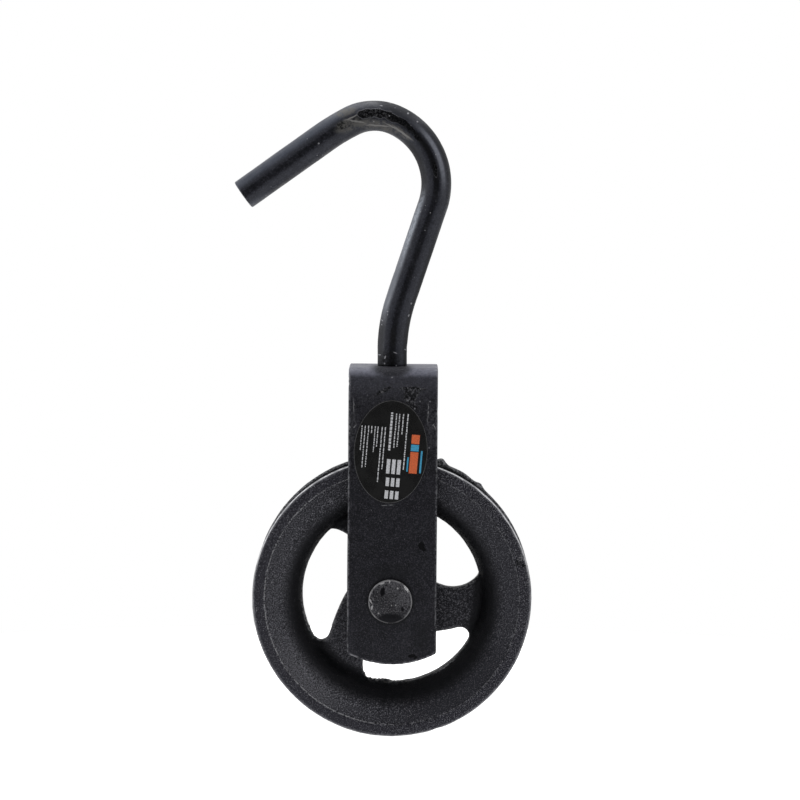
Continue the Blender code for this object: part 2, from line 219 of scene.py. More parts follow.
    def marked(self, name):
        """The value that a piece's mesh carries at each of its points."""
        node = self.tree.nodes.new("ShaderNodeAttribute")
        node.attribute_name = name
        return node.outputs["Fac"]

    def axle_reach(self, spot, centre=AXLE):
        """Distance from the axle's line, or from another line along Y."""
        flat = self.tree.nodes.new("ShaderNodeSeparateXYZ")
        self.feed(flat.inputs[0], self.vector("SUBTRACT", spot, tuple(centre)))
        squares = [self.math("POWER", flat.outputs[side], 2) for side in "XZ"]
        return self.math("SQRT", self.math("ADD", *squares))

    def along(self, axis):
        """The place along one of the row frame's axes."""
        flat = self.tree.nodes.new("ShaderNodeSeparateXYZ")
        self.feed(flat.inputs[0], self.place)
        return flat.outputs[axis]

    def tint(self, mask, colour, share=None):
        """Lay a colour over what is there, where the mask is 1, at that share."""
        if share is not None:
            mask = self.times(mask, share)
        self.colour = self.blend(mask, self.colour, colour)

    def finish(self, roughness, metallic=None):
        """Wire the colour, the roughness and, where given, how metallic it is."""
        self.feed(self.shader.inputs["Base Color"], self.colour)
        self.feed(self.shader.inputs["Roughness"], roughness)
        if metallic is not None:
            self.feed(self.shader.inputs["Metallic"], metallic)
        return self.material

    def gloss(self, level):
        """A slightly blue gloss of that strength, as black enamel has."""
        self.shader.inputs["Specular IOR Level"].default_value = level
        self.shader.inputs["Specular Tint"].default_value = (0.88, 0.91, 1, 1)


def hook_paint():
    """Black enamel on a bent bar: a glossy run at the crown, rubbed patches, chips at the foot, and
    painted highlights and shade across the bar.
    """
    p = Paint("hook_paint")
    p.gloss(0.4)
    shaken = p.wobbled(4, 1.3)
    wide = p.noise(18, 3)
    fine = p.noise(1.1, 3)
    p.colour = p.blend(p.ramp(wide, 0.38, 0.62), (0.0105, 0.0112, 0.0165), (0.0215, 0.0225, 0.031))
    p.tint(p.ramp(fine, 0.52, 0.66), (0.044, 0.045, 0.058))
    p.tint(p.ramp(fine, 0.46, 0.36), (0.003, 0.003, 0.0045))
    rough = p.between(p.ramp(p.noise(7, 4), 0.4, 0.6), 0.32, 0.46)
    across = p.marked("across")
    off = p.math("ABSOLUTE", across)
    x, z = p.along("X"), p.along("Z")
    bend = p.blob(mm(37, -6, -17), (17, 30, 24), 0, 0.7)
    foot = p.ramp(z, -118 * MM, -138 * MM)
    # Painted highlight: both shoulders of the bar lighter than its middle.
    shoulder_light = p.band(off, 0.14, 0.34, 0.86, 0.62)
    p.tint(shoulder_light, (0.05, 0.052, 0.064), 0.42)
    # Painted highlight: the upper side of the limb lighter and bluer.
    upper = p.times(p.ramp(across, 0.3, 0.66), p.ramp(x, -2 * MM, -24 * MM))
    p.tint(upper, (0.07, 0.08, 0.106), 0.6)
    # Painted highlight: a pale blue band down the left side of the stem and shank.
    flank_highlight = p.band(z, -38 * MM, -58 * MM, -136 * MM, -116 * MM)
    flank_highlight = p.times(p.ramp(across, -0.5, -0.78), flank_highlight)
    p.tint(flank_highlight, (0.15, 0.162, 0.19), 0.75)
    # Painted highlight: a bright, broken line near the left edge of the shank.
    edge_glint = p.times(p.ramp(across, -0.62, -0.76), p.ramp(across, -0.99, -0.88, 0.2, 1))
    edge_glint = p.times(edge_glint, p.band(z, -32 * MM, -56 * MM, -98 * MM, -70 * MM))
    broken = p.ramp(p.noise(2.5, 3), 0.38, 0.56, 0.4, 1)
    edge_glint = p.times(edge_glint, p.times(p.ramp(x, 0, 6 * MM), broken))
    p.tint(edge_glint, (0.29, 0.315, 0.36))
    # Painted shade: the sides of the bar darker and rougher, low on its outer side, at the foot and
    # on the crown.
    shade = p.most(
        p.times(p.ramp(across, 0.66, 0.9), p.ramp(z, -60 * MM, -85 * MM)),
        p.times(p.ramp(across, -0.46, -0.78), p.most(foot, bend)),
        p.times(p.ramp(across, 0.62, 0.8), p.times(bend, 0.6)),
    )
    p.tint(shade, (0.002, 0.0021, 0.003), 0.9)
    rough = p.between(shade, rough, 0.62)
    # Painted shade along the middle of the bar, deeper on the crown, where it also stands for a
    # dark paint streak.
    spine_shade_and_streak = p.ramp(p.math("ABSOLUTE", p.math("SUBTRACT", across, 0.01)), 0.25, 0.09)
    spine_shade_and_streak = p.times(spine_shade_and_streak, p.ramp(x, -6 * MM, -22 * MM, 1, 0.62))
    p.tint(p.times(spine_shade_and_streak, p.ramp(bend, 0, 1, 0.62, 0.9)), (0.001, 0.001, 0.0014))

    scuffs = p.blobs(
        ((-18, -8, 3.5), (9, 14, 4.2), -22),
        ((-4, -8, 4.6), (10, 14, 3.4), 0),
        ((9, -8, 2.6), (9, 14, 3), 20),
        ((18.5, -7, -1.2), (7.5, 14, 2.2), 38),
        ((-19.5, -7, 12.2), (7, 14, 2.6), -18),
        soft=0.7, spot=shaken,
    )
    scuffs = p.times(scuffs, p.ramp(p.noise(3, 5, 0.7), 0.35, 0.55))
    p.tint(scuffs, (0.098, 0.094, 0.087))
    rough = p.between(scuffs, rough, 0.55)
    rusty = p.times(p.blob(mm(-22.5, -8, 3.4), (3, 14, 3.2), -30, 0.5, shaken),
                    p.ramp(p.noise(1.8, 4, 0.7), 0.44, 0.54))
    p.tint(rusty, (0.01, 0.01, 0.008))
    jittery = p.wobbled(3, 0.7)
    lines = p.blobs(
        ((19, -6.8, -1.6), (8, 8, 0.72), 36),
        ((13, -7.5, 2), (7, 8, 0.4), 27),
        ((2, -8.5, 3.4), (8, 8, 0.5), 4),
        ((-13, -8, 6.2), (7, 8, 0.55), 10),
        ((-15, -8, 9), (6, 8, 0.5), -24),
        soft=0.8, spot=jittery,
    )
    p.tint(lines, (0.23, 0.224, 0.216), 0.9)
    # Painted shade: a darker, rougher patch on top of the crown that dims the top lamp's reflection
    # there.
    matt_and_shade = p.blob(mm(16, -6, 17), (17, 30, 6), 22, 0.8)
    p.tint(matt_and_shade, (0.006, 0.0062, 0.009), 0.8)
    rough = p.between(matt_and_shade, rough, 0.66)
    # Painted highlight: a pale blue sheen beside the dark middle line on the crown.
    sheen = p.band(across, 0.27, 0.42, 0.68, 0.54)
    sheen = p.times(sheen, p.blob(mm(39, -6, -17), (15, 30, 19), 0, 1.2))
    sheen = p.times(sheen, p.ramp(p.noise(2.2, 4, 0.6), 0.4, 0.58, 0.78, 1))
    p.tint(sheen, (0.195, 0.206, 0.242), 0.9)
    run = p.most(
        p.blobs(
            ((-5.5, -8, 11.5), (6.6, 12, 3.2), -6),
            ((3, -8, 11.6), (7.5, 12, 3.1), 9),
            ((10.5, -8, 9.5), (7.5, 12, 2.8), 24),
            ((17.8, -8, 6.2), (7.2, 12, 2.2), 29),
            ((24, -8, 1.8), (5, 12, 1.7), 44),
            ((29, -8, -4.4), (4.4, 12, 1.5), 54),
            soft=0.28, spot=shaken,
        ),
        p.blob(mm(41.3, -8, -26.2), (5.2, 12, 1.5), 84, 0.28, p.wobbled(6, 0.4)),
    )
    # Painted highlight: a pale rim round the right-hand part and the end of the raised run.
    run_rim_glint = p.band(run, 0.02, 0.35, 0.99, 0.65)
    grit = p.ramp(p.noise(1.2, 3, 0.7), 0.5, 0.6, 0, 0.85)
    grit = p.most(grit, p.times(p.cells(1.3, 0.25, 0.4), p.ramp(p.noise(5), 0.46, 0.54)))
    grit = p.times(grit, p.ramp(p.blob(mm(-0.5, -8, 12), (12, 12, 5), 8, 1), 0, 1, 0.22, 1))
    p.tint(run, (0.0004, 0.0004, 0.0005))
    p.tint(p.times(run, grit), (0.078, 0.078, 0.084), 0.8)
    drawn = p.most(p.ramp(x, 21 * MM, 13 * MM, 0, 0.75), p.ramp(z, -28 * MM, -31 * MM, 0, 0.5))
    p.tint(p.times(run_rim_glint, drawn), (0.105, 0.105, 0.115))
    rough = p.between(run, rough, 0.16)

    chips = p.most(
        p.blobs(
            ((24.5, -7, 3.5), (0.8, 3, 0.6), 20),
            ((22.5, -5, 11.8), (0.7, 5, 0.6), 0),
            ((28.9, -7, 6.2), (0.6, 4, 0.5), 0),
            ((4.3, -4, 16.8), (1.2, 5, 0.5), 8),
            ((-37.9, -9, -9), (0.7, 3, 0.6), 0),
        ),
        p.blobs(
            ((15.1, -9.8, -150.7), (1.5, 3, 0.34), 22),
            ((22, -6, -149), (1.1, 6, 0.32), 6),
            ((4.3, -5, -152.5), (1, 6, 0.3), -8),
            ((8.1, -9, -153.9), (0.55, 3, 1.15), 22),
            ((7.8, -9, -158.3), (0.55, 3, 0.5), 0),
            ((15.8, -9.8, -159.6), (0.5, 3, 0.4), 0),
            ((9.4, -9, -122.6), (0.45, 3, 0.45), 0),
            ((9.6, -9, -125), (0.32, 3, 0.5), 0),
            ((25.6, -7, -117.2), (0.6, 4, 0.7), 0),
            ((24, -6, -125.3), (0.4, 4, 1), 20),
            ((5.8, -6, -128.9), (0.9, 4, 0.32), 40),
            ((5.5, -6, -131.9), (0.6, 4, 0.28), 10),
            soft=0.5, spot=jittery,
        ),
        p.times(p.cells(3.5, 0.2, 0.16), p.ramp(wide, 0.45, 0.56)),
    )
    soiled = p.most(
        p.blob(mm(10, -9, -156.5), (8.5, 6, 6.6), 0, 0.7, shaken),
        p.blob(mm(13.4, -9, -141.2), (1.8, 4, 6), 0, 0.9, shaken),
    )
    soiled = p.times(soiled, p.ramp(p.noise(1.6, 3, 0.7), 0.58, 0.42, 0.35, 1))
    p.tint(soiled, (0.0022, 0.0018, 0.0015), 0.95)
    rough = p.between(soiled, rough, 0.7)
    p.tint(chips, (0.3, 0.3, 0.32), 0.9)
    rough = p.between(chips, rough, 0.6)
    p.relief((wide, 0.25), (p.noise(5, 3), 0.14), (fine, 0.045), (scuffs, 0.05), (run, 0.12))
    return p.finish(rough)


def strap_paint():
    """Black paint over rolled flat bar: mill texture, flaked pits, rubbed edges, dust and painted
    sheen on the fold, painted shadow at the stem and the rivet.
    """
    p = Paint("strap_paint")
    p.gloss(0.42)
    wide = p.noise(22, 3)
    mottle = p.noise(5, 3, 0.6)
    grain = p.noise(0.8, 2, 0.7)
    streaks = p.noise(5, 3, 0.6, stretch=(1, 1, 7))
    p.colour = p.blend(p.ramp(wide, 0.38, 0.62), (0.0048, 0.0042, 0.0074), (0.0082, 0.0074, 0.0116))
    p.tint(p.ramp(mottle, 0.52, 0.64, 0, 0.7), (0.0125, 0.0114, 0.0166))
    p.tint(p.ramp(mottle, 0.48, 0.36, 0, 0.7), (0.0022, 0.0019, 0.0036))
    low = p.ramp(p.along("Z"), AXLE.z - 12 * MM, AXLE.z - 26 * MM)
    p.tint(p.times(low, p.ramp(streaks, 0.52, 0.6, 0, 0.6)), (0.022, 0.0205, 0.0265))
    p.tint(p.ramp(grain, 0.52, 0.66), (0.0445, 0.0427, 0.052))
    p.tint(p.ramp(grain, 0.49, 0.38), (0.0003, 0.0003, 0.0006))
    rough = p.between(p.ramp(p.noise(6, 4), 0.3, 0.7), 0.4, 0.54)

    # Dust and painted sheen: the top of the strap lighter towards the fold, with a pale band along
    # the fold.
    fold_dust_and_sheen = p.ramp(p.along("Z"), STEM.z - 26 * MM, STEM.z - 6 * MM, 0, 0.24)
    band = p.ramp(p.along("Z"), STEM.z - 6.4 * MM, STEM.z - 2.8 * MM, 0, 0.72)
    fold_dust_and_sheen = p.math("ADD", fold_dust_and_sheen, band)
    # Painted shadow and reflection of the stem: the pale band is left out round its foot, and the
    # paint there is rougher.
    stem_shade = p.blob(STEM + mm(0, -14, -0.5), (13, 30, 5.8), 0, 0.8, p.wobbled(4, 0.8))
    fold_dust_and_sheen = p.times(fold_dust_and_sheen, p.ramp(stem_shade, 0, 1, 1, 0.06))
    fold_dust_and_sheen = p.times(fold_dust_and_sheen, p.ramp(p.noise(2.2, 4, 0.7), 0.35, 0.62, 0.62, 1))
    p.tint(fold_dust_and_sheen, (0.152, 0.155, 0.198))
    rough = p.between(stem_shade, rough, 0.72)
    # Painted shadow: a dark ring just outside the rivet's head, with soft dark patches above it and
    # to its lower right.
    rivet_shadow = p.axle_reach(p.wobbled(3, 0.8), HEAD)
    rivet_shadow = p.times(p.ramp(rivet_shadow, 17.6 * MM, 15.8 * MM), p.ramp(p.noise(4, 3), 0.32, 0.52))
    rivet_shadow = p.most(
        p.times(rivet_shadow, 0.92),
        p.times(p.blob(HEAD + mm(0, -27, 19), (14, 6, 6.5), 0, 0.9), 0.5),
        p.times(p.blob(HEAD + mm(21, -27, -24), (6, 6, 10), 0, 0.9, p.wobbled(5, 2)), 0.5),
    )
    p.tint(rivet_shadow, (0.0006, 0.0006, 0.0008))

    shaken = p.wobbled(2.2, 1)
    crumbs = p.noise(1.25, 3, 0.75)
    flaked = p.most(
        p.blob(mm(7.2, -27, -175.6), (5.6, 3, 1.3), -26, 0.5, shaken),
        p.blob(mm(27.2, -27, -174), (8.6, 3, 1.3), 2, 0.4, shaken),
        p.times(p.blob(mm(25.6, -27, -179), (4.2, 3, 6), 0, 0.6, shaken), 0.85),
        p.blobs(
            ((29, -27, -178.8), (5.2, 3, 1.2), -52),
            ((27, -27, -184.2), (2, 3, 1.3), 10),
            ((26.4, -27, -185), (4.8, 3, 1.8), 32),
            soft=0.5, spot=shaken,
        ),
    )
    p.tint(p.times(flaked, p.ramp(crumbs, 0.455, 0.415)), (0.115, 0.113, 0.12))
    pits = p.ramp(p.times(flaked, p.ramp(crumbs, 0.468, 0.5)), 0.1, 0.6)
    torn = p.wobbled(1.5, 1)
    loose = p.blob(mm(26.4, -27, -185), (4.6, 3, 1.3), 32, 0.4, torn)
    pits = p.most(
        pits,
        p.blob(mm(33.8, -27, -280.9), (2.3, 3, 2.8), -14, 0.25, torn),
        p.blob(mm(35.4, -27, -283.2), (1.7, 3, 1.3), 30, 0.25, torn),
        p.blob(mm(28, -27, -356.4), (2.6, 3, 1.2), -8, 0.3, torn),
        p.blob(mm(30.2, -27, -357.8), (1.6, 3, 0.9), -30, 0.3, torn),
        p.times(loose, p.ramp(crumbs, 0.43, 0.47)),
    )
    p.tint(pits, (0.0002, 0.0002, 0.0003))
    rough = p.between(pits, rough, 0.92)
    specks = p.most(
        p.blobs(
            ((24, -27, -182), (0.6, 2, 0.6), 0),
            ((32.1, -27, -182.5), (0.55, 2, 0.5), 0),
            ((38.9, -27, -182.5), (0.6, 2, 0.5), 0),
            ((28.6, -27, -187.4), (0.6, 2, 0.6), 0),
            ((13.1, -26.5, -166.4), (0.7, 2, 0.5), 0),
            ((38.6, -27, -214), (0.5, 2, 0.6), 0),
        ),
        p.times(p.cells(3.2, 0.16, 0.13), p.ramp(p.noise(25), 0.44, 0.56)),
    )
    p.tint(specks, (0.24, 0.24, 0.26), 0.7)
    scratches = p.most(
        p.blobs(
            ((-12.5, -27, -200.5), (2.6, 2, 0.34), -50),
            ((-14.6, -27, -201), (2.2, 2, 0.34), 55),
            ((40.2, -27, -199.5), (2.8, 2, 0.34), -48),
            ((42.3, -27, -200), (2.2, 2, 0.34), 60),
            soft=0.6,
        ),
        p.blob(mm(37.6, -27, -190.5), (0.3, 2, 7), 2, 0.8, shaken),
        p.blob(mm(-12.8, -27, -186), (0.26, 2, 5), -2, 0.8, shaken),
        p.blob(mm(10.2, -27, -253.4), (4.5, 2, 0.28), -4, 0.6),
    )
    scratches = p.times(scratches, p.ramp(p.noise(2, 3), 0.38, 0.52))
    p.tint(scratches, (0.22, 0.22, 0.23), 0.9)
    hazy = p.most(
        p.blob(mm(-13.8, -27, -198), (4.2, 3, 13), 0, 0.9, shaken),
        p.blob(mm(40.4, -27, -199), (3.4, 3, 15), 0, 0.9, shaken),
        p.times(p.blob(mm(12, -27, -178), (34, 3, 12), 0, 0.9), 0.45),
    )
    hazy = p.times(hazy, p.ramp(p.noise(1.3, 3, 0.7), 0.44, 0.62))
    p.tint(hazy, (0.06, 0.06, 0.066), 0.75)
    worn = p.times(p.edges(0.512, 0.545), p.ramp(p.noise(2.4, 4, 0.65), 0.4, 0.6))
    arc = p.ramp(p.along("Z"), AXLE.z - 34 * MM, AXLE.z - 38 * MM, 0.4, 0.85)
    p.tint(p.times(worn, arc), (0.28, 0.28, 0.3))
    p.relief((wide, 0.2), (mottle, 0.1), (grain, 0.1), (pits, -0.25))
    return p.finish(rough)


def casting_paint():
    """Black paint over a sand casting: coarse grain, pale specks partly painted as glints, rubbed
    edges, painted light, painted shade in the channel and groove, painted highlights on the rim.
    """
    p = Paint("casting_paint")
    p.gloss(0.3)
    wide = p.noise(16, 4)
    sand = p.noise(0.8, 2, 0.7)
    grit = p.noise(0.5, 2, 0.6)
    radius = p.axle_reach(p.wobbled(9, 0.5))
    p.colour = p.blend(p.ramp(wide, 0.38, 0.62), (0.015, 0.0147, 0.0188), (0.021, 0.0206, 0.026))
    # Painted light: the left side of the casting lighter, the channel lighter on its right, and
    # paler still at the lower left.
    side = p.blob(off_axle(-66, 0, -18), (46, 60, 84), 0, 1.3)
    lefty = p.ramp(p.along("X"), AXLE.x + 26 * MM, AXLE.x - 40 * MM)
    channel = p.band(radius, 87.8 * MM, 86.6 * MM, 61 * MM, 66 * MM)
    p.tint(side, (0.056, 0.0555, 0.064), 0.85)
    lit = p.times(channel, p.ramp(p.along("X"), AXLE.x + 18 * MM, AXLE.x + 52 * MM))
    p.tint(lit, (0.03, 0.0296, 0.0365), 0.8)
    pale = p.times(channel, p.blob(off_axle(-56, 0, -52), (24, 60, 24), 0, 1.2))
    p.tint(pale, (0.088, 0.087, 0.096), 0.7)
    p.tint(p.ramp(radius, 87.2 * MM, 87.9 * MM, 0, 0.85), (0.02, 0.019, 0.027))
    # Painted highlight: a lighter band on the rounded outer edge from 93 mm out.
    p.tint(p.ramp(radius, 93 * MM, 94.3 * MM, 0, 0.6), (0.09, 0.09, 0.106))
    # Painted shade: the channel darker at the lower right.
    low_right_shade = p.times(channel, p.blob(off_axle(48, -10, -58), (46, 30, 26), -42, 1.2))
    p.tint(low_right_shade, (0.0085, 0.0082, 0.012), 0.75)
    smooth = p.most(
        p.times(channel, p.ramp(lefty, 0, 1, 0.34, 0)),
        p.times(low_right_shade, 0.58),
        p.times(p.ramp(radius, 87.2 * MM, 88.2 * MM), p.ramp(lefty, 0.3, 1, 0, 0.45)),
    )
    coarse = p.ramp(smooth, 0, 1, 1, 0)
    p.tint(p.times(p.ramp(sand, 0.53, 0.63), coarse), (0.165, 0.163, 0.183))
    p.tint(p.times(p.ramp(sand, 0.48, 0.37), coarse), (0.0008, 0.0008, 0.0014))
    # Painted shade: deep in the channel, faintly over the web and hub, and as a dark streak across
    # the channel at the lower left.
    deep = p.ramp(radius, 52 * MM, 58 * MM, 0, 0.97)
    channel_shade = p.most(
        p.times(p.ramp(radius, 78.2 * MM, 68 * MM), deep),
        p.blob(off_axle(-43, -8, -45.5), (21, 30, 7), 40, 0.8, p.wobbled(5, 1.5)),
        p.ramp(radius, 62 * MM, 56 * MM, 0, 0.22),
    )
    p.tint(channel_shade, (0.0009, 0.0008, 0.0013), 0.955)
    # Painted shadow: the groove's inner faces near the flange tips made black.
    groove_shadow = p.ramp(p.math("ABSOLUTE", p.along("Y")), 17 * MM, 16.2 * MM)
    groove_shadow = p.times(groove_shadow, p.ramp(radius, 76 * MM, 80 * MM))
    p.tint(groove_shadow, (0.0012, 0.0012, 0.0014), 0.9)
    rough = p.between(p.ramp(sand, 0.4, 0.6), 0.4, 0.6)
    # Pale specks, more on the left: partly pale grains, partly painted glints on the sand.
    specks = p.times(p.cells(1.5, 0.34, 0.24), p.ramp(wide, 0.38, 0.52))
    specks = p.times(specks, p.ramp(channel_shade, 0, 1, 1, 0.15))
    specks = p.times(specks, p.ramp(lefty, 0, 1, 0.35, 1))
    p.tint(specks, (0.36, 0.36, 0.38), 0.85)
    # Worn paint and painted highlight: a thin pale line along the step at 87 mm, stronger on the
    # left.
    step_wear_and_glint = p.band(radius, 86.5 * MM, 86.85 * MM, 87.55 * MM, 87.2 * MM)
    step_wear_and_glint = p.times(step_wear_and_glint, p.ramp(p.noise(1.6, 4, 0.7), 0.4, 0.58))
    step_wear_and_glint = p.times(step_wear_and_glint, p.ramp(lefty, 0, 1, 0.3, 0.85))
    p.tint(step_wear_and_glint, (0.3, 0.3, 0.315))
    rubbed = p.most(p.edges(0.512, 0.55), p.marked("rub"))
    rubbed = p.times(rubbed, p.ramp(p.noise(1.8, 4, 0.7), 0.42, 0.58))
    p.tint(rubbed, (0.26, 0.26, 0.275), 0.8)
    upper = p.ramp(p.along("Z"), AXLE.z + 10 * MM, AXLE.z + 34 * MM)
    # Coarse pale specks on the rim band at the upper right: partly grit, partly painted glints.
    grit_and_glints = p.blob(off_axle(76, -18, 40), (44, 30, 52), 0, 0.8)
    grit_and_glints = p.times(p.ramp(radius, 87.6 * MM, 88.4 * MM), grit_and_glints)
    grit_and_glints = p.times(grit_and_glints, p.cells(1.2, 0.45, 0.34))
    p.tint(grit_and_glints, (0.19, 0.19, 0.2), 0.8)
    # Painted highlight: a pale line on the front flange's rounded outer edge, strongest on the
    # upper part.
    lip = p.band(radius, 94.35 * MM, 94.6 * MM, 95.35 * MM, 95.1 * MM)
    lip = p.times(lip, p.ramp(p.noise(9, 3), 0.4, 0.54, 0.45, 1))
    lip = p.times(lip, p.ramp(p.along("Y"), -17 * MM, -18 * MM))
    lip = p.times(lip, p.ramp(upper, 0, 1, 0.25, 0.95))
    p.tint(lip, (0.7, 0.7, 0.72))
    shaken = p.wobbled(3, 1.8)
    flake = p.most(
        p.blob(off_axle(86.6, -18, 24.9), (3, 5, 2.2), 14, 0.4, shaken),
        p.blob(off_axle(89.6, -18, 23.2), (2, 5, 1.2), 40, 0.4, shaken),
    )
    frayed = p.blob(off_axle(88.4, -18, 29), (3.4, 5, 2), -60, 0.6, shaken)
    frayed = p.times(frayed, p.ramp(sand, 0.44, 0.56))
    p.tint(frayed, (0.24, 0.238, 0.25), 0.7)
    flake = p.times(flake, p.ramp(sand, 0.62, 0.5, 0.25, 1))
    p.tint(flake, (0.0008, 0.0008, 0.001))
    p.relief((wide, 0.3), (sand, 0.32), (grit, 0.1))
    return p.finish(rough)


def rivet_paint():
    """Black paint on a forged head, painted lighter on the crown and darker low down, and bright
    along its rim.
    """
    p = Paint("rivet_paint")
    p.gloss(0.2)
    grain = p.noise(0.95, 2, 0.7)
    patch = p.noise(6, 3)
    shaken = p.wobbled(1.6, 0.7)
    radius = p.axle_reach(p.wobbled(6, 0.25), HEAD)

    p.colour = p.blend(p.ramp(patch, 0.4, 0.6), (0.027, 0.0266, 0.0298), (0.042, 0.0412, 0.046))
    # Painted light: the upper part of the head lighter.
    crown = p.blobs(
        ((0, -30.5, 11), (12, 8, 5), 0),
        ((9.5, -30.5, 4), (5, 8, 9), 30),
        soft=1, spot=shaken, start=HEAD,
    )
    p.tint(crown, (0.08, 0.0785, 0.087), 0.8)
    p.tint(p.ramp(grain, 0.52, 0.66), (0.125, 0.123, 0.132))
    p.tint(p.ramp(grain, 0.48, 0.36), (0.007, 0.007, 0.0085))
    # Painted shade: the lower part of the head dark.
    lower_shade = p.blob(HEAD + mm(0.5, -30.5, -12.6), (9.8, 9, 5), 0, 0.5, p.wobbled(1.4, 1))
    lower_shade = p.times(lower_shade, p.ramp(p.noise(1.1, 3, 0.7), 0.62, 0.52, 0.9, 1))
    dark = p.most(
        lower_shade,
        p.blob(HEAD + mm(-5.2, -30.5, 7), (1.5, 6, 3), 8, 0.4, shaken),
        p.blob(HEAD + mm(8.4, -30.5, -4.8), (1, 5, 1.7), 0, 0.5, shaken),
    )
    p.tint(dark, (0.0008, 0.0005, 0.0016), 0.98)
    rim = p.band(radius, 13.9 * MM, 14.3 * MM, 15.1 * MM, 14.8 * MM)
    rim = p.times(rim, p.ramp(p.noise(3.5, 3, 0.6), 0.36, 0.58, 0.35, 1))
    rim = p.times(rim, p.ramp(lower_shade, 0, 0.8, 1, 0.55))
    chips = p.blobs(
        ((-13.2, -30.5, 0.4), (0.45, 4, 1.9), -30),
        ((-12.4, -30.5, -4), (0.7, 4, 1.6), 8),
        ((-7.8, -30.5, -7.8), (0.6, 4, 0.45), 0),
        ((-5.6, -30.5, 12.6), (1.7, 4, 0.45), -20),
        ((-0.6, -30.5, 13.6), (0.4, 4, 0.8), 0),
        ((4.9, -30.5, 9.4), (0.7, 4, 0.6), 0),
        ((3.7, -30.5, -2), (0.4, 4, 0.4), 0),
        ((1, -30.5, -2.3), (0.4, 4, 0.35), 0),
        soft=0.5, spot=shaken, start=HEAD,
    )
    p.tint(rim, (0.26, 0.257, 0.265), 0.85)
    p.tint(chips, (0.4, 0.396, 0.405), 0.9)
    flecks = p.blob(HEAD + mm(10.9, -30.5, 9), (2.8, 4, 0.9), 53, 0.4, shaken)
    flecks = p.times(flecks, p.ramp(p.noise(0.8, 2, 0.7), 0.48, 0.53))
    p.tint(flecks, (0.74, 0.735, 0.745))
    p.relief((patch, 0.2), (grain, 0.1), (dark, -0.12))
    return p.finish(p.between(p.ramp(grain, 0.4, 0.6), 0.34, 0.5))


def washer_paint():
    """Black paint on pressed washers, with a little bare metal at the edge."""
    p = Paint("washer_paint")
    grain = p.noise(1.2, 4, 0.65)
    p.colour = p.blend(p.ramp(grain, 0.4, 0.7), (0.0095, 0.0095, 0.011), (0.026, 0.026, 0.029))
    p.relief((grain, 0.06))
    return p.finish(p.between(p.ramp(p.noise(4), 0.3, 0.7), 0.38, 0.52))


def bare_steel():
    """Turned steel, dull with old grease."""
    p = Paint("bare_steel")
    rings = p.noise(1.6, 3, 0.6, stretch=(8, 0.25, 8))
    stain = p.ramp(p.noise(9, 4), 0.42, 0.62)
    p.colour = p.blend(stain, (0.36, 0.35, 0.33), (0.12, 0.1, 0.085))
    p.relief((rings, 0.02))
    return p.finish(p.between(stain, 0.34, 0.55), p.between(stain, 1, 0.7))


def label_film():
    """Smooth black film, a touch glossier than the paint, with fine handling marks."""
    p = Paint("label_film")
    smear = p.noise(9, 4)
    p.colour = p.blend(p.ramp(smear, 0.4, 0.65), (0.0068, 0.0068, 0.007), (0.0082, 0.0082, 0.0084))
    p.relief((p.noise(12, 2), 0.04), (p.noise(0.7, 2), 0.004))
    return p.finish(p.between(p.ramp(smear, 0.35, 0.7), 0.24, 0.34))


def print_ink(name, colour, worn):
    """Printed ink with slightly uneven cover."""
    p = Paint(name)
    cover = p.ramp(p.noise(0.7, 3), 0.25, 0.55)
    p.colour = p.blend(cover, worn, colour)
    return p.finish(p.between(cover, 0.45, 0.36))


def added(name, data):
    """A new object in the scene that holds this data."""
    item = bpy.data.objects.new(name, data)
    bpy.context.collection.objects.link(item)
    return item


def new_piece(name, verts, faces, material):
    mesh = bpy.data.meshes.new(name)
    mesh.from_pydata([tuple(v) for v in verts], [], faces)
    mesh.validate()
    mesh.shade_smooth()
    mesh.set_sharp_from_angle(angle=SHARP_OVER)
    mesh.materials.append(material)
    return added(name, mesh)


def painted(item, material):
    """Give a remeshed piece its one material and smooth shading."""
    item.data.shade_smooth()
    item.data.materials.clear()
    item.data.materials.append(material)
    return item


def joined_mesh(node):
    """A copy of a CAD node's mesh, with the vertices along its sharp edges joined again."""
    bm = bmesh.new()
    bm.from_mesh(frame["nodes"][node].data)
    bmesh.ops.remove_doubles(bm, verts=bm.verts, dist=0.002 * MM)
    mesh = bpy.data.meshes.new(node)
    bm.to_mesh(mesh)
    bm.free()
    return mesh


def evaluated(item):
    """Replace an object's mesh by what its modifiers make of it."""
    bpy.context.view_layer.update()
    made = item.evaluated_get(bpy.context.evaluated_depsgraph_get())
    mesh = bpy.data.meshes.new_from_object(made)
    item.modifiers.clear()
    item.data = mesh
    return item


def remeshed(name, node, voxel, passes):
    """The node's solid as one even skin of small faces, with its edges softened."""
    item = added(name, joined_mesh(node))
    skin = item.modifiers.new("skin", "REMESH")
    skin.mode = "VOXEL"
    skin.voxel_size = voxel
    ease = item.modifiers.new("ease", "SMOOTH")
    ease.factor = 0.5
    ease.iterations = passes
    return evaluated(item)


def coords_of(mesh, what="co"):
    values = np.empty(len(mesh.vertices) * 3)
    mesh.vertices.foreach_get(what, values)
    return values.reshape(-1, 3)


def set_coords(mesh, values):
    mesh.vertices.foreach_set("co", values.ravel())
    mesh.update()


def bumps(points, size, seed):
    """Noise of -1 to 1 at each point."""
    shift = Vector((seed * 3.1, seed * 1.7, seed * 2.3))
    return np.array([noise.noise(Vector(point) / size + shift) for point in points])


def lump(points, centre, size, height):
    """A smooth hump or dent round a place, as a height at each point."""
    reach = np.linalg.norm((points - np.array(centre)) / np.array(size), axis=1)
    return height * np.exp(-2 * reach ** 2)


def dress(item, body, slot, *nodes):
    """Let a piece ride on a body, in place of the CAD nodes named."""
    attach(item, body)
    if nodes:
        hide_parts(*nodes)
    return item


